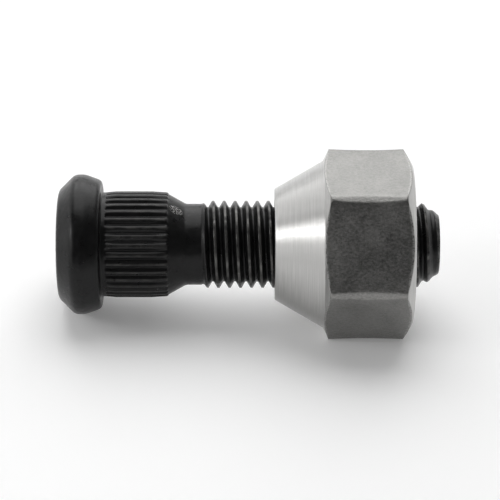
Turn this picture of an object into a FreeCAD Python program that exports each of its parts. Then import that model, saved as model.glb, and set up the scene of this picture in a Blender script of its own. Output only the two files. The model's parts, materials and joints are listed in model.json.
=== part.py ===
"""A press-in wheel stud with its cone-seat wheel nut screwed on to it.

The stud lies along +X. The origin is on its axis, in the plane of the bearing
face under the head, and +Z is up. The pair lies as it comes to rest on a level
surface: on the rim of the head and on the front edge of one flat of the nut.
"""

import FreeCAD
import Part
import Sketcher
import os

# Driving dimensions in millimetres and degrees
SIZES = [
    ("shoulder_diameter", 14.4, "serrated shoulder over its crests"),
    ("shoulder_length", 9.0, "bearing face to the end of the serrations"),
    ("shoulder_crown", 0.13, "rise of the barrel shape above its two ends"),
    ("crown_length", 2.0, "taper at each end of the barrel shape"),
    ("lead_bevel", 0.2, "bevel at the free end of the shoulder"),
    ("serration_start", 0.6, "bearing face to the start of the serrations"),
    ("serration_count", 36, "serrations round the shoulder"),
    ("serration_depth", 0.4, "depth of a serration groove"),
    ("serration_angle", 90, "included angle of a serration groove"),
    ("head_overhang", 2.3, "head rim beyond the shoulder, on each side"),
    ("head_thickness", 5.8, "end face to bearing face"),
    ("head_bevel", 2.2, "45 degree bevel round the end face"),
    ("head_taper_length", 1.7, "tapered back of the rim, along the axis"),
    ("head_taper_drop", 0.63, "tapered back of the rim, along the radius"),
    ("head_corner_bevel", 0.5, "45 degree bevel round the bearing face"),
    ("head_edge_radius", 0.6, "rounding of the edges of the head's bevel"),
    ("seat_relief", 0.4, "45 degree cone between bearing face and shoulder"),
    ("transition_length", 2.4, "cone from the shoulder down to the neck"),
    ("neck_length", 2.15, "plain neck before the thread"),
    ("neck_depth", 0.42, "neck below the crests of the thread"),
    ("thread_diameter", 11.85, "crests of the thread"),
    ("shank_length", 45.7, "bearing face to the threaded end"),
    ("end_chamfer", 1.6, "45 degree chamfer of the threaded end"),
    ("nut_position", 23.45, "bearing face to the nose of the nut"),
    ("nut_length", 18.7, "nose to back face"),
    ("hex_across_flats", 22.7, "hexagon across its flats"),
    ("corner_trim", 0.18, "sharp hexagon corner cut back by the turned land"),
    ("corner_waist", 0.14, "dip of the turned land at mid length"),
    ("seat_cone_angle", 60, "included angle of the cone seat"),
    ("front_chamfer_angle", 25, "chamfer behind the cone, from the face plane"),
    ("back_chamfer_angle", 30, "chamfer at the back, from the face plane"),
    ("back_face_margin", 0.55, "back face inside the flats, on each side"),
    ("nose_land", 1.0, "flat ring at the nose of the cone"),
    ("bore_chamfer", 0.55, "45 degree countersink at both ends of the bore"),
    ("thread_clearance", 0.06, "bore beyond the crests of the thread, on each side"),
]

# Radii that both pieces or several features share, as expressions of the sheet
SHOULDER_RADIUS = "Sizes.shoulder_diameter / 2"
SHOULDER_END_RADIUS = f"({SHOULDER_RADIUS} - Sizes.shoulder_crown)"
SERRATION_ROOT_RADIUS = f"({SHOULDER_RADIUS} - Sizes.serration_depth)"
HEAD_RADIUS = f"({SHOULDER_RADIUS} + Sizes.head_overhang)"
HEAD_FACE_RADIUS = f"({HEAD_RADIUS} - Sizes.head_bevel)"
TAPER_RADIUS = f"({HEAD_RADIUS} - Sizes.head_taper_drop)"
SEAT_RADIUS = f"({TAPER_RADIUS} - Sizes.head_corner_bevel)"
THREAD_RADIUS = "Sizes.thread_diameter / 2"
NECK_RADIUS = f"({THREAD_RADIUS} - Sizes.neck_depth)"
BORE_RADIUS = f"({THREAD_RADIUS} + Sizes.thread_clearance)"
MOUTH_RADIUS = f"({BORE_RADIUS} + Sizes.bore_chamfer)"
NOSE_RADIUS = f"({MOUTH_RADIUS} + Sizes.nose_land)"
FLAT_RADIUS = "Sizes.hex_across_flats / 2"
SHARP_CORNER_RADIUS = f"({FLAT_RADIUS} / cos(30))"
LAND_RADIUS = f"({SHARP_CORNER_RADIUS} - Sizes.corner_trim)"
BACK_FACE_RADIUS = f"({FLAT_RADIUS} - Sizes.back_face_margin)"

# Places along the axis: the stud's from the bearing face, the nut's from its nose
HEAD_END = "-Sizes.head_thickness"
RIM_START = "(Sizes.head_bevel - Sizes.head_thickness)"
EDGE_RUN = "Sizes.head_edge_radius * tan(22.5)"
EDGE_LEG = f"{EDGE_RUN} * cos(45)"
EDGE_BOW = "Sizes.head_edge_radius * (1 - cos(22.5))"
RIM_END = "-(Sizes.head_taper_length + Sizes.head_corner_bevel)"
CREST_END = "(Sizes.shoulder_length - Sizes.lead_bevel)"
BARREL_END = f"({CREST_END} - Sizes.crown_length)"
NECK_START = "(Sizes.shoulder_length + Sizes.transition_length)"
NECK_END = f"({NECK_START} + Sizes.neck_length)"
CONE_END = f"(({FLAT_RADIUS} - {NOSE_RADIUS}) / tan(Sizes.seat_cone_angle / 2))"
LAND_START = f"({CONE_END} + ({LAND_RADIUS} - {FLAT_RADIUS}) * tan(Sizes.front_chamfer_angle))"
BACK_CHAMFER = f"({LAND_RADIUS} - {BACK_FACE_RADIUS}) * tan(Sizes.back_chamfer_angle)"
LAND_END = f"(Sizes.nut_length - {BACK_CHAMFER})"

# The rim and the front edge of the lowest flat stand on one level surface
RIM_CONTACT = f"({RIM_START} + {EDGE_RUN})"
CONTACT_RISE = f"({FLAT_RADIUS} - {HEAD_RADIUS})"
CONTACT_RUN = f"(Sizes.nut_position + {CONE_END} - {RIM_CONTACT})"
REST_TILT = f"atan({CONTACT_RISE} / {CONTACT_RUN})"


def make_sheet(doc):
    """Put each driving dimension in a cell of its own, named by an alias."""
    sheet = doc.addObject("Spreadsheet::Sheet", "Sizes")
    for row, (alias, size, meaning) in enumerate(SIZES, start=1):
        sheet.set(f"A{row}", meaning)
        sheet.set(f"B{row}", str(size))
        sheet.setAlias(f"B{row}", alias)
    doc.recompute()
    return sheet


def evaluate(holder, expression):
    """The present value of an expression of the sheet, as a plain number."""
    result = holder.evalExpression(expression)
    return float(getattr(result, "Value", result))


def make_body(doc, label):
    body = doc.addObject("PartDesign::Body", label)
    body.Label = label
    return body


def make_sketch(body, name, plane_role):
    """A sketch on one of the body's own origin planes."""
    plane = next(item for item in body.Origin.OriginFeatures if item.Role == plane_role)
    sketch = body.newObject("Sketcher::SketchObject", name)
    sketch.AttachmentSupport = [(plane, "")]
    sketch.MapMode = "FlatFace"
    return sketch


def bind(sketch, constraint, name, expression):
    """Add a dimension to a sketch and tie it to the sheet."""
    index = sketch.addConstraint(constraint)
    sketch.renameConstraint(index, name)
    sketch.setExpression(f"Constraints.{name}", expression)


def draw_loop(sketch, corners, bows=None):
    """Draw a closed loop through the corners, each dimensioned from the origin.

    A corner is two expressions, along the sketch's x and y. A side that is named
    in bows, by the number of its first corner, is an arc that rises by that much
    to the left of the way to the next corner, or to the right if it is negative.
    """
    bows = bows or {}
    points = []
    for across, up in corners:
        points.append(FreeCAD.Vector(evaluate(sketch, across), evaluate(sketch, up), 0))
    ends = []
    for number, start in enumerate(points):
        stop = points[(number + 1) % len(points)]
        if number not in bows:
            side = sketch.addGeometry(Part.LineSegment(start, stop), False)
            ends.append((side, 1, 2))
            continue
        rise = evaluate(sketch, bows[number])
        chord = stop - start
        left = FreeCAD.Vector(-chord.y, chord.x, 0).normalize()
        crown = (start + stop) / 2 + left * rise
        side = sketch.addGeometry(Part.Arc(start, crown, stop), False)
        anticlockwise = rise < 0
        ends.append((side, 1, 2) if anticlockwise else (side, 2, 1))
    for number, (across, up) in enumerate(corners):
        side, first, _ = ends[number]
        before, _, last = ends[number - 1]
        sketch.addConstraint(Sketcher.Constraint("Coincident", before, last, side, first))
        place = points[number]
        bind_coordinate(sketch, "X", side, first, place.x, f"across_{number}", across)
        bind_coordinate(sketch, "Y", side, first, place.y, f"up_{number}", up)
    for number, rise in bows.items():
        run = f"({corners[number + 1][0]} - {corners[number][0]})"
        climb = f"({corners[number + 1][1]} - {corners[number][1]})"
        radius = f"abs(({run} ^ 2 + {climb} ^ 2) / (8 * {rise}) + {rise} / 2)"
        dimension = Sketcher.Constraint("Radius", ends[number][0], evaluate(sketch, radius))
        bind(sketch, dimension, f"bow_{number}", radius)


def bind_coordinate(sketch, letter, side, end, place, name, expression):
    """Hold one coordinate of a corner, on an axis of the sketch or at a bound distance."""
    axis = {"X": -2, "Y": -1}[letter]
    if expression == "0":
        sketch.addConstraint(Sketcher.Constraint("PointOnObject", side, end, axis))
        return
    origin = (-1, 1)
    dimension = Sketcher.Constraint(f"Distance{letter}", *origin, side, end, place)
    bind(sketch, dimension, name, expression)


def revolve(body, name, sketch):
    """Turn a profile once round the sketch's horizontal axis."""
    feature = body.newObject("PartDesign::Revolution", name)
    feature.Profile = sketch
    feature.ReferenceAxis = (sketch, ["H_Axis"])
    feature.Angle = 360
    body.Document.recompute()
    return feature


def require_cut(before, after):
    """A cut has to take material away."""
    if not after.Shape.Volume < before.Shape.Volume - 1e-6:
        raise RuntimeError(f"{after.Name} cuts nothing")


def make_stud(doc):
    """Turned blank, then the serrations pressed into its shoulder."""
    body = make_body(doc, "wheel_stud")
    profile = make_sketch(body, "StudProfile", "XY_Plane")
    corners = [
        (HEAD_END, "0"),
        (HEAD_END, f"({HEAD_FACE_RADIUS} - {EDGE_RUN})"),
        (f"({HEAD_END} + {EDGE_LEG})", f"({HEAD_FACE_RADIUS} + {EDGE_LEG})"),
        (f"({RIM_START} - {EDGE_LEG})", f"({HEAD_RADIUS} - {EDGE_LEG})"),
        (RIM_CONTACT, HEAD_RADIUS),
        (RIM_END, HEAD_RADIUS),
        ("-Sizes.head_corner_bevel", TAPER_RADIUS),
        ("0", SEAT_RADIUS),
        ("0", f"({SHOULDER_END_RADIUS} + Sizes.seat_relief)"),
        ("Sizes.seat_relief", SHOULDER_END_RADIUS),
        ("Sizes.crown_length", SHOULDER_RADIUS),
        (BARREL_END, SHOULDER_RADIUS),
        (CREST_END, SHOULDER_END_RADIUS),
        ("Sizes.shoulder_length", f"({SHOULDER_END_RADIUS} - Sizes.lead_bevel)"),
        (NECK_START, NECK_RADIUS),
        (NECK_END, NECK_RADIUS),
        (f"({NECK_END} + Sizes.neck_depth)", THREAD_RADIUS),
        ("(Sizes.shank_length - Sizes.end_chamfer)", THREAD_RADIUS),
        ("Sizes.shank_length", f"({THREAD_RADIUS} - Sizes.end_chamfer)"),
        ("Sizes.shank_length", "0"),
    ]
    face_edge, rim_edge = 1, 3
    draw_loop(profile, corners, {face_edge: EDGE_BOW, rim_edge: EDGE_BOW})
    blank = revolve(body, "StudBlank", profile)
    body.Tip = cut_serrations(body, blank)
    return body


def cut_serrations(body, base):
    """V grooves along the shoulder, out over the transition cone."""
    sketch = make_sketch(body, "SerrationGroove", "YZ_Plane")
    sketch.setExpression("AttachmentOffset.Base.z", "Sizes.serration_start")
    height = "(2 * Sizes.serration_depth)"
    half_width = f"({height} * tan(Sizes.serration_angle / 2))"
    top = f"({SERRATION_ROOT_RADIUS} + {height})"
    corners = [
        ("0", SERRATION_ROOT_RADIUS),
        (half_width, top),
        (f"-{half_width}", top),
    ]
    draw_loop(sketch, corners)
    groove = body.newObject("PartDesign::Pocket", "SerrationCut")
    groove.Profile = sketch
    groove.Reversed = True
    groove.setExpression("Length", f"{NECK_START} - Sizes.serration_start")
    body.Document.recompute()
    require_cut(base, groove)
    pattern = body.newObject("PartDesign::PolarPattern", "Serrations")
    pattern.Originals = [groove]
    pattern.Axis = (sketch, ["N_Axis"])
    pattern.Angle = 360
    pattern.setExpression("Occurrences", "Sizes.serration_count")
    body.Tip = pattern
    body.Document.recompute()
    require_cut(groove, pattern)
    return pattern


def make_nut(doc):
    """Turned blank with its cone seat, chamfers, waisted land and bore, then the six flats."""
    body = make_body(doc, "wheel_nut")
    profile = make_sketch(body, "NutProfile", "XY_Plane")
    corners = [
        ("0", MOUTH_RADIUS),
        ("0", NOSE_RADIUS),
        (CONE_END, FLAT_RADIUS),
        (LAND_START, LAND_RADIUS),
        (LAND_END, LAND_RADIUS),
        ("Sizes.nut_length", BACK_FACE_RADIUS),
        ("Sizes.nut_length", MOUTH_RADIUS),
        ("(Sizes.nut_length - Sizes.bore_chamfer)", BORE_RADIUS),
        ("Sizes.bore_chamfer", BORE_RADIUS),
    ]
    land_side = 3
    draw_loop(profile, corners, {land_side: "-Sizes.corner_waist"})
    blank = revolve(body, "NutBlank", profile)
    body.Tip = cut_flats(body, blank)
    return body


def cut_flats(body, base):
    """Take off what lies outside the hexagon, which has one flat downwards."""
    sketch = make_sketch(body, "Hexagon", "YZ_Plane")
    half_side = f"({SHARP_CORNER_RADIUS} / 2)"
    corners = [
        (SHARP_CORNER_RADIUS, "0"),
        (half_side, FLAT_RADIUS),
        (f"-{half_side}", FLAT_RADIUS),
        (f"-{SHARP_CORNER_RADIUS}", "0"),
        (f"-{half_side}", f"-{FLAT_RADIUS}"),
        (half_side, f"-{FLAT_RADIUS}"),
    ]
    draw_loop(sketch, corners)
    outside = f"({SHARP_CORNER_RADIUS} * 2)"
    axis = FreeCAD.Vector(0, 0, 0)
    normal = FreeCAD.Vector(0, 0, 1)
    ring = sketch.addGeometry(Part.Circle(axis, normal, evaluate(sketch, outside)), False)
    sketch.addConstraint(Sketcher.Constraint("Coincident", ring, 3, -1, 1))
    dimension = Sketcher.Constraint("Radius", ring, evaluate(sketch, outside))
    bind(sketch, dimension, "outside", outside)
    flats = body.newObject("PartDesign::Pocket", "Flats")
    flats.Profile = sketch
    flats.Reversed = True
    flats.setExpression("Length", "Sizes.nut_length")
    body.Document.recompute()
    require_cut(base, flats)
    return flats


def place(body, distance):
    """Lay a body in the rest position, its own origin this far along the tilted axis."""
    tilt_axis = FreeCAD.Vector(0, -1, 0)
    body.Placement = FreeCAD.Placement(FreeCAD.Vector(), FreeCAD.Rotation(tilt_axis, 1))
    body.setExpression("Placement.Rotation.Angle", REST_TILT)
    body.setExpression("Placement.Base.x", f"{distance} * cos({REST_TILT})")
    body.setExpression("Placement.Base.z", f"{distance} * sin({REST_TILT})")


def check(doc, bodies):
    """Stop if anything failed to compute or a solid is not whole."""
    for item in doc.Objects:
        if "Invalid" in item.State or "Error" in item.State:
            raise RuntimeError(f"{item.Name} failed: {item.State}")
    for body in bodies:
        if body.Shape.isNull() or not body.Shape.isValid():
            raise RuntimeError(f"{body.Label} has no valid shape")
        if len(body.Shape.Solids) != 1:
            raise RuntimeError(f"{body.Label} is not one solid")


def main():
    doc = FreeCAD.newDocument("wheel_stud_and_nut")
    make_sheet(doc)
    stud = make_stud(doc)
    nut = make_nut(doc)
    place(stud, "0")
    place(nut, "Sizes.nut_position")
    doc.recompute()
    check(doc, [stud, nut])
    os.makedirs("parts", exist_ok=True)
    for body in (stud, nut):
        body.Shape.exportStep(f"parts/{body.Label}.step")


main()
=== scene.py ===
"""Looks of a press-in wheel stud and its cone-seat nut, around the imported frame.

Shapes are worked out in millimetres in the stud's own frame: x runs along its
axis from the bearing face under the head towards the nut, and an angle turns
about that axis from +y towards +z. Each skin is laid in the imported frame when
it is built.
"""

import json
import math

import bmesh
import bpy
from mathutils import Matrix, Vector


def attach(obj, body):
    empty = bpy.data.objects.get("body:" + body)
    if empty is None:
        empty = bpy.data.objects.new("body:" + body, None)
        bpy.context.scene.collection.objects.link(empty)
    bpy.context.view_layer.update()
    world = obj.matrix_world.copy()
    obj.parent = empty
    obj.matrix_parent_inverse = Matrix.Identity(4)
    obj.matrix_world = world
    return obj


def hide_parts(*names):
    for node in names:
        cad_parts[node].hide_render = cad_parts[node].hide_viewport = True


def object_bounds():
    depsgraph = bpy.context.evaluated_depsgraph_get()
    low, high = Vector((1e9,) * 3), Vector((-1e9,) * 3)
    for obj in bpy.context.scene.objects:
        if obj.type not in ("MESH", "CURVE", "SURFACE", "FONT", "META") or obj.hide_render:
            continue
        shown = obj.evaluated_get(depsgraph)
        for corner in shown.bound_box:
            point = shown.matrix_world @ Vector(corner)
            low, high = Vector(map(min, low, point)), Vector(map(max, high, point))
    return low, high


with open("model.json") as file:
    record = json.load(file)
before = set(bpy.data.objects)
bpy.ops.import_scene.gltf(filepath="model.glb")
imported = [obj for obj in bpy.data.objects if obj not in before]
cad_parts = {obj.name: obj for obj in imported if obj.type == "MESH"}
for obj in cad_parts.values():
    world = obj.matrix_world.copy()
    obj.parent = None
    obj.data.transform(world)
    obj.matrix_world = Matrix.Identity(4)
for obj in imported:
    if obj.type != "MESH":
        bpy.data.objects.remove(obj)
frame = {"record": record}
cad_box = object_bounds()

MM = 0.001
TURN = 2 * math.pi

# Head of the stud, in millimetres
HEAD_END = -5.8
HEAD_RADIUS = 9.5
HEAD_BEVEL = 2.2
BEVEL_ANGLE = math.radians(45)
HEAD_EDGE_RADIUS = 1.4
FACE_EDGE_RADIUS = 1.2
FACE_RING_SHARE = 0.5
TAPER_START = -2.2
TAPER_EDGE = 0.45
TAPER_EDGE_DROP = 0.167
UNDERSIDE_EDGE_START = -0.6
UNDERSIDE_EDGE_RADIUS = 8.91
UNDERSIDE_CORNER_RADIUS = 8.68
SEAT_OUTER_RADIUS = 8.3
SEAT_FILLET = 0.4

# Serrated shoulder, cone and neck of the stud, in millimetres
SHOULDER_RADIUS = 7.2
SHOULDER_END_RADIUS = 7.07
SHOULDER_LENGTH = 9.0
CROWN_LENGTH = 2.0
LEAD_BEVEL = 0.2
SERRATIONS = 36
SERRATION_START = 0.6
SERRATION_START_RADIUS = 7.08
SERRATION_FADE_START = 0.59
SERRATION_FULL = 0.95
SERRATION_FULL_RADIUS = 7.11
SERRATION_END = 9.3
SERRATION_ROOT = 6.8
SERRATION_HALF_CREST = 0.12
SERRATION_ROOT_BLEND = 0.04
CONE_CORNER_RADIUS = 7.05
CONE_START = 9.1
CONE_START_RADIUS = 6.81
NECK_FILLET_START = 11.1
NECK_FILLET_RADIUS = 5.695
NECK_START = 11.4
NECK_FILLET_END = 11.75
NECK_END = 11.9
NECK_RADIUS = 5.505

# Threaded shank of the stud, in millimetres; over its end the crests drop and the thread fades
THREAD_JOIN = 12.0
SHANK_LENGTH = 45.7
RUN_OUT_START = 13.4
RUN_OUT_END = 14.5
END_LENGTH = 3.4
END_DROP = 1.95
END_POWER = 1.6
END_EDGE = 0.15

# Thread M12 x 1.5, right-hand, in millimetres
PITCH = 1.5
THREAD_HALF_ANGLE = math.radians(30)
PITCH_RADIUS = 5.513
CREST_RADIUS = 5.925
ROOT_RADIUS = 5.06
CREST_AT_ANGLE_ZERO = 14.86
NUT_FLANK_GAP = 0.05
NUT_CREST_RADIUS = 5.2
NUT_ROOT_RADIUS = 6.04

# Nut, in millimetres from its nose
NUT_POSITION = 23.45
NUT_LENGTH = 18.7
MOUTH_RADIUS = 6.535
MOUTH_MARGIN = 0.15
NOSE_RADIUS = 7.535
CONE_ANGLE = math.radians(30)
CONE_END = 6.608
CONE_FINE_LENGTH = 0.3
FLAT_RADIUS = 11.35
LAND_RADIUS = 12.926
LAND_WAIST = 0.14
LAND_MARGIN = 0.02
FRONT_CHAMFER = math.radians(25)
BACK_CHAMFER = math.radians(30)
BACK_FACE_RADIUS = 10.8
BACK_MARGIN = 0.3
NUT_EDGE_RADIUS = 0.3
FLAT_EDGE_BLEND = 0.14

# Where the flats count as drawn and their edges as rubbed and painted with a highlight: how far
# the turned blank stands outside the flat, in millimetres
DRAWN_START = -0.05
DRAWN_FULL = 0.1
RUB_AND_HIGHLIGHT_END = 0.7

# How finely the surfaces are divided; the spans are in degrees from the middle of a flat
STUD_COLUMNS = 288
THREAD_COLUMNS = 144
THREAD_STEPS = (
    0.0, 0.05, 0.092, 0.13, 0.21, 0.29, 0.37, 0.425,
    0.5, 0.575, 0.63, 0.71, 0.79, 0.87, 0.908, 0.95,
)
FLATS = 6
SECTOR = 360 // FLATS
HALF_SECTOR = SECTOR // 2
COARSE_SPAN = 20
COARSE_STEPS = 16
FINE_STEPS = 25
BORE_STEP = 4

# Points this close are made one, and edges this short are dissolved, in metres
MERGE_DISTANCE = 2e-7
SLIVER_LENGTH = 1e-7

# Colours, as linear values
BLACK_LOW = (0.003, 0.003, 0.0032, 1)
BLACK_HIGH = (0.007, 0.007, 0.0073, 1)
# Dark metal on rubbed crests, lighter also as painted sheen along them
BLACK_WEAR_AND_SHEEN = (0.12, 0.118, 0.114, 1)
BARE_STEEL = (0.75, 0.74, 0.72, 1)
TURNED_LOW = (0.38, 0.378, 0.37, 1)
TURNED_HIGH = (0.54, 0.536, 0.526, 1)
FLAT_LOW = (0.175, 0.174, 0.168, 1)
FLAT_HIGH = (0.295, 0.292, 0.282, 1)
# Rubbed edges of the flats, lighter also as a painted highlight
EDGE_RUB_AND_HIGHLIGHT = (0.5, 0.496, 0.486, 1)
WHITE = (1, 1, 1, 1)

# Black oxide: scales of its patterns per millimetre, bump depths in millimetres, and the
# ranges of a pattern that are spread from none to full
OXIDE_PATCH_SCALE = 0.9
OXIDE_PATCH_RANGE = (0.3, 0.7)
OXIDE_PATCH_DEPTH = 0.04
OXIDE_GRAIN_SCALE = 14.0
OXIDE_GRAIN_DEPTH = 0.004
OXIDE_ROUGHNESS = (0.26, 0.36)
OXIDE_SPECULAR = 0.24
# Crest wear, whose lighter colour is partly painted sheen along the crests
CREST_WEAR_AND_SHEEN_DEPTH = 0.3
CREST_WEAR_AND_SHEEN_RANGE = (0.7, 1.0)
SERRATION_WEAR_AND_SHEEN = 0.8
WEAR_AND_SHEEN_SCALE = 0.8
WEAR_AND_SHEEN_RANGE = (0.3, 0.65)

# Scuff on the cone of the stud: its middle and half sizes, in millimetres and radians
SCUFF_ALONG = 10.2
SCUFF_LENGTH = 1.0
SCUFF_ANGLE = math.radians(100)
SCUFF_WIDTH = math.radians(8)
SCUFF_FADE = (0.5, 0.95)
SCUFF_SPECK_SCALE = 5.5
SCUFF_SPECK_RANGE = (0.53, 0.6)

# Bright steel, given as black oxide is: tool marks on the turned faces, skin on the flats
MARK_SCALE = 9.0
MARK_DRIFT = 0.12
MARK_RANGE = (0.3, 0.7)
MARK_DEPTH = 0.02
TURNED_ROUGHNESS = 0.28
TURNED_BRUSHING = 0.6
QUARTER_TURN = 0.25
SKIN_STRETCH = (0.7, 1.0, 1.0)
SKIN_GRAIN_SCALE = 3.5
SKIN_GRAIN_SHARE = 0.7
SKIN_GRAIN_DEPTH = 0.055
SKIN_CLOUD_SCALE = 0.25
SKIN_CLOUD_SHARE = 0.3
SKIN_RANGE = (0.38, 0.62)
SKIN_ROUGHNESS = (0.28, 0.48)
# Rubbed edges of the flats, partly a painted highlight line
RUB_AND_HIGHLIGHT_SCALE = 4.0
RUB_AND_HIGHLIGHT_RANGE = (0.42, 0.58)
RUB_AND_HIGHLIGHT_EDGE_RANGE = (1.0, 1.6)
RUB_AND_HIGHLIGHT_ROUGHNESS = 0.85

# Camera as in the photograph, in its 500 x 500 frame, with lengths in millimetres
IMAGE_SIZE = 500
MM_PER_PIXEL = 0.136
BEARING_FACE_PIXEL = 102.0
AXIS_PIXEL = 244.3
CAMERA_ELEVATION = math.radians(32.5)
CAMERA_DISTANCE = 340.0
SENSOR_WIDTH = 36.0

# Studio, in metres; the backdrop rises between two sines of the angle from +x towards +y
CLIP_START = 0.01
SWEEP_CENTRE = 0.05
SWEEP_RADIUS = 0.85
SWEEP_COVE = 0.25
SWEEP_HEIGHT = 0.8
SWEEP_COLUMNS = 96
COVE_STEPS = 12
BACKDROP_RISE = (-0.1, 0.3)
SWEEP_COLOR = (0.9, 0.9, 0.9, 1)
SWEEP_ROUGHNESS = 0.9
SWEEP_GLOW = 0.14
WORLD_COLOR = (0.12, 0.12, 0.12, 1)


def axis_frame():
    """The matrix that lays the stud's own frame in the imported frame, in metres."""
    mounts = {mount["name"]: mount for mount in frame["record"]["mounts"]}
    along = Vector(mounts["head_seat"]["axis"]).normalized()
    across = Vector((0, 1, 0))
    up = along.cross(across)
    turn = Matrix((along, across, up)).transposed().to_4x4()
    return Matrix.Translation(Vector(mounts["head_seat"]["pos_m"])) @ turn @ Matrix.Scale(MM, 4)


LAY = axis_frame()


def smooth_step(low, high, value):
    """How far a value has come from low to high, from 0 to 1, with a soft start and stop."""
    share = min(max((value - low) / (high - low), 0.0), 1.0)
    return share * share * (3 - 2 * share)


def smooth_min(first, second, blend):
    """The smaller of two radii, with the edge where they cross rounded over."""
    near = max(blend - abs(first - second), 0.0) / blend
    return min(first, second) - near * near * blend / 4


def from_whole(value):
    """How far a value lies from the nearest whole number."""
    return abs((value + 0.5) % 1.0 - 0.5)


def arc(start, corner, stop, steps):
    """Points of a rounded corner from start to stop, without start itself."""
    points = []
    for step in range(1, steps + 1):
        t = step / steps
        a = (1 - t) ** 2
        b = 2 * t * (1 - t)
        c = t * t
        x = a * start[0] + b * corner[0] + c * stop[0]
        r = a * start[1] + b * corner[1] + c * stop[1]
        points.append((x, r))
    return points


def line(start, stop, steps):
    """Evenly spaced points from start to stop, without start itself."""
    points = []
    for step in range(1, steps + 1):
        t = step / steps
        points.append((start[0] + (stop[0] - start[0]) * t, start[1] + (stop[1] - start[1]) * t))
    return points


def even_angles(count):
    """Angles all the way round, evenly spaced."""
    return [TURN * i / count for i in range(count)]


class Skin:
    """A closed surface built of rings of points round the stud's axis.

    Each point has a finish, a number that its material reads: on the stud how far it
    is a crest, from 0 to 1, and on the nut what nut_ring says.
    """

    def __init__(self):
        self.places = []
        self.finishes = []
        self.faces = []

    def ring(self, angles, place):
        """Add one point at each angle; place gives its distance along the axis, radius and finish."""
        first = len(self.places)
        for angle in angles:
            x, r, finish = place(angle)
            self.places.append((x, r, angle))
            self.finishes.append(finish)
        return list(range(first, len(self.places)))

    def band(self, near, far):
        """Join two rings. One may have a whole number of points for each point of the other."""
        if len(near) == len(far):
            for i in range(len(near)):
                j = (i + 1) % len(near)
                self.faces.append((near[i], near[j], far[j], far[i]))
            return
        coarse, fine = (near, far) if len(near) < len(far) else (far, near)
        ratio = len(fine) // len(coarse)
        for i in range(len(coarse)):
            j = (i + 1) % len(coarse)
            edge = [fine[(i * ratio + k) % len(fine)] for k in range(ratio + 1)]
            self.faces.append((coarse[i], *edge, coarse[j]))

    def bands(self, rings):
        """Join each ring of a list to the next."""
        for near, far in zip(rings, rings[1:]):
            self.band(near, far)

    def cap(self, ring, x):
        """Close a ring with a flat fan of faces."""
        centre = len(self.places)
        self.places.append((x, 0.0, 0.0))
        self.finishes.append(0.0)
        for i in range(len(ring)):
            self.faces.append((ring[i], ring[(i + 1) % len(ring)], centre))

    def thread(self, angles, turns, base, place):
        """Rings that climb with the helix, so a crest or root runs along one ring.

        place works from the share of a pitch past a crest and the distance along the
        axis. The end rings are flat, because place holds the distance within the
        threaded length. They are returned, first and last.
        """
        steps = len(THREAD_STEPS)
        rings = []
        for number in range(turns * steps + 1):
            share = THREAD_STEPS[number % steps]
            start = base + PITCH * (number // steps + share)
            rings.append(self.ring(angles, lambda angle: place(share, start + PITCH * angle / TURN)))
        last = len(rings) - 1
        count = len(angles)
        for number in range(last):
            near, far = rings[number], rings[number + 1]
            for i in range(count - 1):
                self.faces.append((near[i], near[i + 1], far[i + 1], far[i]))
            near_seam = rings[min(number + steps, last)][0]
            far_seam = rings[min(number + steps + 1, last)][0]
            self.faces.append((near[-1], near_seam, far_seam, far[-1]))
        return rings[0], rings[last]

    def build(self, name):
        """Make the object, with its own cylinder coordinates kept on each point."""
        mesh = bpy.data.meshes.new(name)
        points = []
        for x, r, angle in self.places:
            points.append(LAY @ Vector((x, r * math.cos(angle), r * math.sin(angle))))
        faces = [face for face in self.faces if len(set(face)) > 2]
        mesh.from_pydata(points, [], faces)
        mesh.attributes.new("turned", "FLOAT_VECTOR", "POINT")
        mesh.attributes.new("finish", "FLOAT", "POINT")
        coordinates = [value for place in self.places for value in place]
        mesh.attributes["turned"].data.foreach_set("vector", coordinates)
        mesh.attributes["finish"].data.foreach_set("value", self.finishes)
        work = bmesh.new()
        work.from_mesh(mesh)
        bmesh.ops.remove_doubles(work, verts=work.verts, dist=MERGE_DISTANCE)
        bmesh.ops.dissolve_degenerate(work, edges=work.edges, dist=SLIVER_LENGTH)
        bmesh.ops.recalc_face_normals(work, faces=work.faces)
        work.to_mesh(mesh)
        work.free()
        mesh.shade_smooth()
        piece = bpy.data.objects.new(name, mesh)
        bpy.context.collection.objects.link(piece)
        return piece


def head_outline():
    """Profile of the head, from within its end face to the fillet on its bearing face."""
    face_radius = HEAD_RADIUS - HEAD_BEVEL
    rim_start = HEAD_END + HEAD_BEVEL
    run = FACE_EDGE_RADIUS * math.tan(BEVEL_ANGLE / 2)
    leg = run * math.cos(BEVEL_ANGLE)
    points = [(HEAD_END, face_radius * FACE_RING_SHARE), (HEAD_END, face_radius - run)]
    points += arc(points[-1], (HEAD_END, face_radius), (HEAD_END + leg, face_radius + leg), steps=6)
    run = HEAD_EDGE_RADIUS * math.tan(BEVEL_ANGLE / 2)
    leg = run * math.cos(BEVEL_ANGLE)
    points += line(points[-1], (rim_start - leg, HEAD_RADIUS - leg), steps=3)
    points += arc(points[-1], (rim_start, HEAD_RADIUS), (rim_start + run, HEAD_RADIUS), steps=6)
    points += line(points[-1], (TAPER_START - TAPER_EDGE, HEAD_RADIUS), steps=2)
    taper = (TAPER_START + TAPER_EDGE, HEAD_RADIUS - TAPER_EDGE_DROP)
    points += arc(points[-1], (TAPER_START, HEAD_RADIUS), taper, steps=5)
    points += line(points[-1], (UNDERSIDE_EDGE_START, UNDERSIDE_EDGE_RADIUS), steps=3)
    points += arc(points[-1], (0.0, UNDERSIDE_CORNER_RADIUS), (0.0, SEAT_OUTER_RADIUS), steps=7)
    points += line(points[-1], (0.0, SHOULDER_END_RADIUS + SEAT_FILLET), steps=3)
    return points


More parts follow.
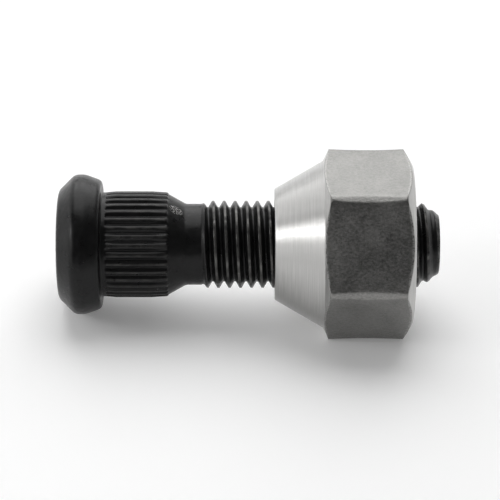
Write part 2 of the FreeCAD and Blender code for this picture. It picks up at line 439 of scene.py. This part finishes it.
def stud_outline():
    """Profile of the stud from its head to the neck, as distances along the axis and radii."""
    points = head_outline()
    points += arc(points[-1], (0.0, SHOULDER_END_RADIUS), (SEAT_FILLET, SHOULDER_END_RADIUS), steps=5)
    points += line(points[-1], (SERRATION_START, SERRATION_START_RADIUS), steps=1)
    points += line(points[-1], (SERRATION_FULL, SERRATION_FULL_RADIUS), steps=5)
    points += line(points[-1], (CROWN_LENGTH, SHOULDER_RADIUS), steps=4)
    crest_end = SHOULDER_LENGTH - LEAD_BEVEL
    points += line(points[-1], (crest_end - CROWN_LENGTH, SHOULDER_RADIUS), steps=6)
    points += line(points[-1], (crest_end, SHOULDER_END_RADIUS), steps=5)
    cone_corner = (SHOULDER_LENGTH, CONE_CORNER_RADIUS)
    points += arc(points[-1], cone_corner, (CONE_START, CONE_START_RADIUS), steps=5)
    points += line(points[-1], (NECK_FILLET_START, NECK_FILLET_RADIUS), steps=6)
    points += arc(points[-1], (NECK_START, NECK_RADIUS), (NECK_FILLET_END, NECK_RADIUS), steps=5)
    points += line(points[-1], (NECK_END, NECK_RADIUS), steps=2)
    return points


def serration(angle):
    """How far into a groove an angle lies: 0 on a crest, 1 at a root."""
    pitch = TURN / SERRATIONS
    offset = from_whole(angle / pitch) * pitch * SHOULDER_RADIUS
    half_pitch = pitch * SHOULDER_RADIUS / 2
    return smooth_step(SERRATION_HALF_CREST, half_pitch + SERRATION_ROOT_BLEND, offset)


def stud_ring(x, r):
    """One ring of the stud, cut by the grooves where it stands above their roots."""
    deep = smooth_step(SERRATION_FADE_START, SERRATION_FULL, x)
    spare = max(r - SERRATION_ROOT, 0.0) * deep
    if spare == 0.0 or x > SERRATION_END:
        return lambda angle: (x, r, 0.0)

    def cut(angle):
        groove = serration(angle)
        # The finish marks the serration crests for wear and painted sheen
        return x, r - spare * groove, SERRATION_WEAR_AND_SHEEN * deep * (1 - groove)

    return cut


def thread_profile(share, flank_gap, low, high):
    """Radius of a 60 degree thread at a share of a pitch past the middle of a crest."""
    offset = from_whole(share) * PITCH
    flank = PITCH_RADIUS + (PITCH / 4 + flank_gap - offset) / math.tan(THREAD_HALF_ANGLE)
    return min(max(flank, low), high)


def stud_thread(share, x):
    """The rolled thread of the stud, which fades in from the neck and out over a rounded end."""
    x = min(max(x, THREAD_JOIN), SHANK_LENGTH)
    fade = smooth_step(RUN_OUT_START, RUN_OUT_END, x)
    profile = thread_profile(share, 0.0, ROOT_RADIUS, CREST_RADIUS)
    r = NECK_RADIUS + fade * (profile - NECK_RADIUS)
    # How far a point is a crest, where the material paints wear and sheen
    crest = fade * smooth_step(CREST_RADIUS - CREST_WEAR_AND_SHEEN_DEPTH, CREST_RADIUS, r)
    near_end = max(1 - (SHANK_LENGTH - x) / END_LENGTH, 0.0)
    depth = (CREST_RADIUS - r) * (1 - near_end)
    return x, CREST_RADIUS - END_DROP * near_end ** END_POWER - depth, crest


def helix_base(lowest):
    """The last crest at angle zero that lies at least one pitch before a place."""
    turns = math.floor((lowest - PITCH - CREST_AT_ANGLE_ZERO) / PITCH)
    return CREST_AT_ANGLE_ZERO + turns * PITCH


def make_stud():
    skin = Skin()
    angles = even_angles(STUD_COLUMNS)
    rings = [skin.ring(angles, stud_ring(x, r)) for x, r in stud_outline()]
    skin.bands(rings)
    skin.cap(rings[0], HEAD_END)
    base = helix_base(THREAD_JOIN)
    turns = math.ceil((SHANK_LENGTH - base) / PITCH) + 1
    angles = even_angles(THREAD_COLUMNS)
    first, last = skin.thread(angles, turns, base, stud_thread)
    skin.band(rings[-1], first)
    end_radius = CREST_RADIUS - END_DROP - END_EDGE
    end_face = skin.ring(angles, lambda angle: (SHANK_LENGTH, end_radius, 0.0))
    skin.band(last, end_face)
    skin.cap(end_face, SHANK_LENGTH)
    return skin.build("stud_skin")


def hexagon_angles():
    """Angles round the nut from the middle of a flat, closer together beside its six corners."""
    half = [COARSE_SPAN * i / COARSE_STEPS for i in range(COARSE_STEPS)]
    half += [COARSE_SPAN + (HALF_SECTOR - COARSE_SPAN) * i / FINE_STEPS for i in range(FINE_STEPS)]
    sector = half + [HALF_SECTOR] + [SECTOR - angle for angle in reversed(half[1:])]
    angles = []
    for flat in range(FLATS):
        angles += [math.radians(HALF_SECTOR + SECTOR * flat + angle) for angle in sector]
    return angles


def flat_distance(angle):
    """Radius of the sharp hexagon at an angle; its flats face 30, 90 and so on degrees."""
    offset = math.degrees(angle) % SECTOR - HALF_SECTOR
    return FLAT_RADIUS / math.cos(math.radians(offset))


def nut_outline():
    """Profile of the turned blank of the nut, from its nose to its back face."""
    run = NUT_EDGE_RADIUS * math.tan((math.pi / 2 - CONE_ANGLE) / 2)
    points = [(0.0, MOUTH_RADIUS + MOUTH_MARGIN), (0.0, NOSE_RADIUS - run)]
    edge_stop = (run * math.cos(CONE_ANGLE), NOSE_RADIUS + run * math.sin(CONE_ANGLE))
    points += arc(points[-1], (0.0, NOSE_RADIUS), edge_stop, steps=4)
    fine_radius = FLAT_RADIUS - CONE_FINE_LENGTH * math.tan(CONE_ANGLE)
    points += line(points[-1], (CONE_END - CONE_FINE_LENGTH, fine_radius), steps=18)
    points += line(points[-1], (CONE_END, FLAT_RADIUS), steps=8)
    land_start = CONE_END + (LAND_RADIUS - FLAT_RADIUS) * math.tan(FRONT_CHAMFER)
    points += line(points[-1], (land_start, LAND_RADIUS), steps=24)
    land_end = NUT_LENGTH - (LAND_RADIUS - BACK_FACE_RADIUS) * math.tan(BACK_CHAMFER)
    middle = (land_start + land_end) / 2
    half = (land_end - land_start) / 2
    for x, _ in line(points[-1], (land_end, LAND_RADIUS), steps=36):
        points.append((x, LAND_RADIUS - LAND_WAIST * (1 - ((x - middle) / half) ** 2)))
    run = NUT_EDGE_RADIUS
    chamfer_end_x = NUT_LENGTH - run * math.sin(BACK_CHAMFER)
    chamfer_end_radius = BACK_FACE_RADIUS + run * math.cos(BACK_CHAMFER)
    points += line(points[-1], (chamfer_end_x, chamfer_end_radius), steps=30)
    back_corner = (NUT_LENGTH, BACK_FACE_RADIUS)
    points += arc(points[-1], back_corner, (NUT_LENGTH, BACK_FACE_RADIUS - run), steps=4)
    points += line(points[-1], (NUT_LENGTH, MOUTH_RADIUS + BACK_MARGIN), steps=3)
    return points


def nut_ring(x, r):
    """One ring of the nut, where the drawn hexagon bar limits what was turned.

    Its finish is 0 on a turned face and 1 on a flat or a land, and rises to 2 at the
    front and back edges of a flat, which are rubbed and painted with a highlight.
    """
    place = NUT_POSITION + x
    if r < FLAT_RADIUS - FLAT_EDGE_BLEND:
        return lambda angle: (place, r, 0.0)
    on_land = r > LAND_RADIUS - LAND_WAIST - LAND_MARGIN

    def cut(angle):
        flat = flat_distance(angle)
        drawn = 1.0
        if not on_land:
            drawn = smooth_step(DRAWN_START, DRAWN_FULL, r - flat)
            # Past 1 this marks the rubbed edge band, which is also a painted highlight
            drawn *= 2 - smooth_step(DRAWN_FULL, RUB_AND_HIGHLIGHT_END, r - flat)
        return place, smooth_min(r, flat, FLAT_EDGE_BLEND), drawn

    return cut


def nut_thread(share, x):
    """The nut's own thread, between a countersink at each end of its bore."""
    front = NUT_POSITION
    back = NUT_POSITION + NUT_LENGTH
    x = min(max(x, front), back)
    profile = thread_profile(share, NUT_FLANK_GAP, NUT_CREST_RADIUS, NUT_ROOT_RADIUS)
    mouth = MOUTH_RADIUS - min(x - front, back - x)
    return x, max(profile, mouth), 0.0


def make_nut():
    skin = Skin()
    angles = hexagon_angles()
    rings = [skin.ring(angles, nut_ring(x, r)) for x, r in nut_outline()]
    skin.bands(rings)
    base = helix_base(NUT_POSITION)
    turns = math.ceil((NUT_POSITION + NUT_LENGTH - base) / PITCH) + 1
    first, last = skin.thread(angles[::BORE_STEP], turns, base, nut_thread)
    skin.band(rings[0], first)
    skin.band(rings[-1], last)
    return skin.build("nut_skin")


class Finish:
    """A node material, with short ways to add the nodes that its pattern needs."""

    def __init__(self, name):
        self.material = bpy.data.materials.new(name)
        self.material.use_nodes = True
        self.tree = self.material.node_tree
        self.shader = self.tree.nodes["Principled BSDF"]

    def node(self, kind, inputs=None, **settings):
        """Add a node; an input given as a socket is linked, and any other is set."""
        node = self.tree.nodes.new(kind)
        for key, value in settings.items():
            setattr(node, key, value)
        for key, value in (inputs or {}).items():
            self.feed(node.inputs[key], value)
        return node

    def feed(self, socket, value):
        if isinstance(value, bpy.types.NodeSocket):
            self.tree.links.new(value, socket)
        else:
            socket.default_value = value

    def math(self, operation, first, second):
        return self.node("ShaderNodeMath", {0: first, 1: second}, operation=operation).outputs[0]

    def plus(self, first, second):
        return self.math("ADD", first, second)

    def minus(self, first, second):
        return self.math("SUBTRACT", first, second)

    def times(self, first, second):
        return self.math("MULTIPLY", first, second)

    def larger(self, first, second):
        return self.math("MAXIMUM", first, second)

    def ramp(self, value, low, high, start=0.0, stop=1.0):
        """Spread a value from low to high over start to stop, and hold it there."""
        inputs = {"Value": value, "From Min": low, "From Max": high, "To Min": start, "To Max": stop}
        return self.node("ShaderNodeMapRange", inputs, clamp=True).outputs["Result"]

    def mix(self, share, first, second):
        """Blend two colours. Inputs 6 and 7 and output 2 are the node's sockets for colours."""
        return self.node("ShaderNodeMix", {0: share, 6: first, 7: second}, data_type="RGBA").outputs[2]

    def stored(self, name, output):
        return self.node("ShaderNodeAttribute", attribute_name=name).outputs[output]

    def turned(self):
        """Distance along the axis and radius in millimetres, and the angle about it."""
        return self.node("ShaderNodeSeparateXYZ", {0: self.stored("turned", "Vector")}).outputs

    def vector(self, x, y, z):
        return self.node("ShaderNodeCombineXYZ", {0: x, 1: y, 2: z}).outputs[0]

    def millimetres(self):
        """Where a point is on the piece, in millimetres."""
        place = self.node("ShaderNodeTexCoord").outputs["Object"]
        node = self.node("ShaderNodeVectorMath", {0: place, "Scale": 1 / MM}, operation="SCALE")
        return node.outputs[0]

    def stretch(self, place, factors):
        node = self.node("ShaderNodeVectorMath", {0: place, 1: factors}, operation="MULTIPLY")
        return node.outputs[0]

    def noise(self, place, scale, detail=3.0, roughness=0.55):
        inputs = {"Vector": place, "Scale": scale, "Detail": detail, "Roughness": roughness}
        return self.node("ShaderNodeTexNoise", inputs).outputs["Fac"]

    def bump(self, height, depth, before=None):
        """Tilt the surface by a height that runs from 0 to 1 over a depth in millimetres."""
        inputs = {"Height": height, "Distance": depth * MM, "Strength": 1.0}
        if before is not None:
            inputs["Normal"] = before
        return self.node("ShaderNodeBump", inputs).outputs[0]

    def shade(self, **inputs):
        """Feed the shader, by short names for its sockets."""
        names = {
            "color": "Base Color", "metal": "Metallic", "rough": "Roughness", "normal": "Normal",
            "specular": "Specular IOR Level", "brushed": "Anisotropic", "tangent": "Tangent",
            "brush_turn": "Anisotropic Rotation", "glow": "Emission Strength",
            "glow_color": "Emission Color",
        }
        for key, value in inputs.items():
            self.feed(self.shader.inputs[names[key]], value)
        return self.material


def make_black_steel():
    finish = Finish("black_oxide_steel")
    place = finish.millimetres()
    along, _, angle = finish.turned()
    patches = finish.noise(place, OXIDE_PATCH_SCALE)
    grain = finish.noise(place, OXIDE_GRAIN_SCALE, detail=2.0)
    color = finish.mix(finish.ramp(patches, *OXIDE_PATCH_RANGE), BLACK_LOW, BLACK_HIGH)
    # Crests of the thread and the serrations are rubbed to dark metal, here more and there less, and this
    # lighter crest colour is partly painted sheen
    crest = finish.ramp(finish.stored("finish", "Fac"), *CREST_WEAR_AND_SHEEN_RANGE)
    worn_and_sheen = finish.times(crest, finish.ramp(finish.noise(place, WEAR_AND_SHEEN_SCALE), *WEAR_AND_SHEEN_RANGE))
    color = finish.mix(worn_and_sheen, color, BLACK_WEAR_AND_SHEEN)
    # A scuff on the cone behind the serrations is rubbed to bare metal in specks
    off_along = finish.math("DIVIDE", finish.minus(along, SCUFF_ALONG), SCUFF_LENGTH)
    off_angle = finish.math("DIVIDE", finish.minus(angle, SCUFF_ANGLE), SCUFF_WIDTH)
    off = finish.plus(finish.math("POWER", off_along, 2.0), finish.math("POWER", off_angle, 2.0))
    specks = finish.noise(place, SCUFF_SPECK_SCALE, detail=4.0, roughness=0.8)
    scuff = finish.ramp(off, *SCUFF_FADE, 1.0, 0.0)
    bare = finish.times(scuff, finish.ramp(specks, *SCUFF_SPECK_RANGE))
    color = finish.mix(bare, color, BARE_STEEL)
    metal = finish.larger(bare, worn_and_sheen)
    rough = finish.ramp(patches, *OXIDE_PATCH_RANGE, *OXIDE_ROUGHNESS)
    normal = finish.bump(patches, OXIDE_PATCH_DEPTH)
    normal = finish.bump(grain, OXIDE_GRAIN_DEPTH, normal)
    return finish.shade(color=color, metal=metal, rough=rough, specular=OXIDE_SPECULAR, normal=normal)


def make_bright_steel():
    finish = Finish("bright_turned_steel")
    place = finish.millimetres()
    along, radius, angle = finish.turned()
    stored = finish.stored("finish", "Fac")
    drawn = finish.math("MINIMUM", stored, 1.0)
    # Tool marks run round the turned faces, so they change fast across them and slowly round
    marked = finish.vector(finish.plus(along, radius), finish.times(angle, MARK_DRIFT), 0.0)
    marks = finish.noise(marked, MARK_SCALE, detail=4.0, roughness=0.7)
    turned_color = finish.mix(finish.ramp(marks, *MARK_RANGE), TURNED_LOW, TURNED_HIGH)
    # The flats keep the dull, drawn skin of the bar, with its grain along the axis
    grain = finish.noise(finish.stretch(place, SKIN_STRETCH), SKIN_GRAIN_SCALE, detail=4.0, roughness=0.75)
    clouds = finish.noise(place, SKIN_CLOUD_SCALE, detail=2.0)
    skin = finish.plus(finish.times(grain, SKIN_GRAIN_SHARE), finish.times(clouds, SKIN_CLOUD_SHARE))
    flat_color = finish.mix(finish.ramp(skin, *SKIN_RANGE), FLAT_LOW, FLAT_HIGH)
    color = finish.mix(drawn, turned_color, flat_color)
    flat_rough = finish.ramp(skin, *SKIN_RANGE, *SKIN_ROUGHNESS)
    rough = finish.plus(finish.times(drawn, finish.minus(flat_rough, TURNED_ROUGHNESS)), TURNED_ROUGHNESS)
    # The edges of the flats are rubbed bright, here more and there less, and this lighter colour is partly
    # a painted highlight
    rub_and_highlight = finish.ramp(finish.noise(place, RUB_AND_HIGHLIGHT_SCALE), *RUB_AND_HIGHLIGHT_RANGE)
    edge = finish.times(finish.ramp(stored, *RUB_AND_HIGHLIGHT_EDGE_RANGE), rub_and_highlight)
    color = finish.mix(edge, color, EDGE_RUB_AND_HIGHLIGHT)
    rough = finish.larger(rough, finish.times(edge, RUB_AND_HIGHLIGHT_ROUGHNESS))
    normal = finish.bump(finish.times(marks, finish.minus(1.0, drawn)), MARK_DEPTH)
    normal = finish.bump(finish.times(grain, drawn), SKIN_GRAIN_DEPTH, normal)
    brushed = finish.ramp(drawn, 0.0, 1.0, TURNED_BRUSHING, 0.0)
    round_axis = finish.node("ShaderNodeTangent", direction_type="RADIAL", axis="X").outputs[0]
    finish.shade(brushed=brushed, brush_turn=QUARTER_TURN, tangent=round_axis)
    return finish.shade(color=color, metal=1.0, rough=rough, normal=normal)


def make_camera():
    camera = bpy.data.cameras.new("camera")
    camera.sensor_width = SENSOR_WIDTH
    camera.lens = SENSOR_WIDTH * CAMERA_DISTANCE / (IMAGE_SIZE * MM_PER_PIXEL)
    camera.clip_start = CLIP_START
    eye = bpy.data.objects.new("camera", camera)
    bpy.context.collection.objects.link(eye)
    right = Vector((1, 0, 0))
    back = Vector((0, -math.cos(CAMERA_ELEVATION), math.sin(CAMERA_ELEVATION)))
    up = back.cross(right)
    centre = IMAGE_SIZE / 2
    target = right * (centre - BEARING_FACE_PIXEL) * MM_PER_PIXEL
    target += up * (AXIS_PIXEL - centre) * MM_PER_PIXEL
    turn = Matrix((right, up, back)).transposed().to_4x4()
    lay_turn = LAY.to_3x3().normalized().to_4x4()
    eye.matrix_world = Matrix.Translation(LAY @ (target + back * CAMERA_DISTANCE)) @ lay_turn @ turn
    bpy.context.scene.camera = eye


def sweep_profile():
    """The floor, cove and backdrop in section, as distances from the middle and heights."""
    cove_start = SWEEP_RADIUS - SWEEP_COVE
    profile = [(SWEEP_CENTRE, 0.0), (cove_start, 0.0)]
    for step in range(1, COVE_STEPS + 1):
        turn = math.pi / 2 * step / COVE_STEPS
        profile.append((cove_start + SWEEP_COVE * math.sin(turn), SWEEP_COVE * (1 - math.cos(turn))))
    profile.append((SWEEP_RADIUS, SWEEP_HEIGHT))
    return profile


def make_sweep_finish():
    """Pale paper, which glows a little where it is seen and lights nothing by that glow."""
    finish = Finish("pale_sweep")
    seen = finish.node("ShaderNodeLightPath").outputs
    shown = finish.larger(seen["Is Camera Ray"], seen["Is Glossy Ray"])
    shown = finish.larger(shown, seen["Is Transmission Ray"])
    finish.shade(glow=finish.times(shown, SWEEP_GLOW), glow_color=WHITE)
    return finish.shade(color=SWEEP_COLOR, rough=SWEEP_ROUGHNESS, specular=0.0)


def make_sweep():
    """A white floor that curves up into a backdrop, on the side away from the camera only."""
    low = cad_box[0][2]
    profile = sweep_profile()
    points = [(0, 0, low)]
    faces = []
    for reach, height in profile:
        for angle in even_angles(SWEEP_COLUMNS):
            back = smooth_step(*BACKDROP_RISE, math.sin(angle))
            points.append((reach * math.cos(angle), reach * math.sin(angle), low + height * back))
    for i in range(SWEEP_COLUMNS):
        j = (i + 1) % SWEEP_COLUMNS
        faces.append((0, 1 + i, 1 + j))
        for row in range(len(profile) - 1):
            near = 1 + row * SWEEP_COLUMNS
            far = near + SWEEP_COLUMNS
            faces.append((near + i, far + i, far + j, near + j))
    mesh = bpy.data.meshes.new("sweep")
    mesh.from_pydata(points, [], faces)
    mesh.shade_smooth()
    sweep = bpy.data.objects.new("sweep", mesh)
    bpy.context.collection.objects.link(sweep)
    mesh.materials.append(make_sweep_finish())


def make_area_light(name, place, target, size, power):
    lamp = bpy.data.lights.new(name, "AREA")
    lamp.shape = "RECTANGLE"
    lamp.size, lamp.size_y = size
    lamp.energy = power
    holder = bpy.data.objects.new(name, lamp)
    bpy.context.collection.objects.link(holder)
    holder.location = place
    holder.rotation_euler = (Vector(target) - Vector(place)).to_track_quat("-Z", "Y").to_euler()


def make_lights():
    """A dim room with a large softbox overhead and smaller ones from the left, in metres and watts."""
    world = bpy.data.worlds.new("studio")
    bpy.context.scene.world = world
    world.use_nodes = True
    world.node_tree.nodes["Background"].inputs["Color"].default_value = WORLD_COLOR
    make_area_light(
        "overhead_softbox", place=(0.02, 0.35, 0.58), target=(0.02, 0, 0), size=(0.65, 0.95), power=4.6)
    make_area_light(
        "back_left_softbox", place=(-0.5, 0.36, 0.43), target=(0.03, 0, 0), size=(0.6, 0.6), power=0.8)
    make_area_light(
        "left_softbox", place=(-0.56, -0.2, 0.2), target=(0.03, 0, 0), size=(0.75, 0.5), power=1.3)
    make_area_light(
        "left_strip", place=(-0.49, -0.16, 0.26), target=(0.03, 0, 0), size=(0.18, 0.12), power=0.42)


bpy.context.scene.view_settings.view_transform = "Standard"
stud = make_stud()
nut = make_nut()
for piece, body, node, slot, material in (
    (stud, "stud", "wheel_stud", "black_steel", make_black_steel()),
    (nut, "nut", "wheel_nut", "bright_steel", make_bright_steel()),
):
    piece.data.materials.append(material)
    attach(piece, body)
    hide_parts(node)
make_sweep()
make_lights()
make_camera()
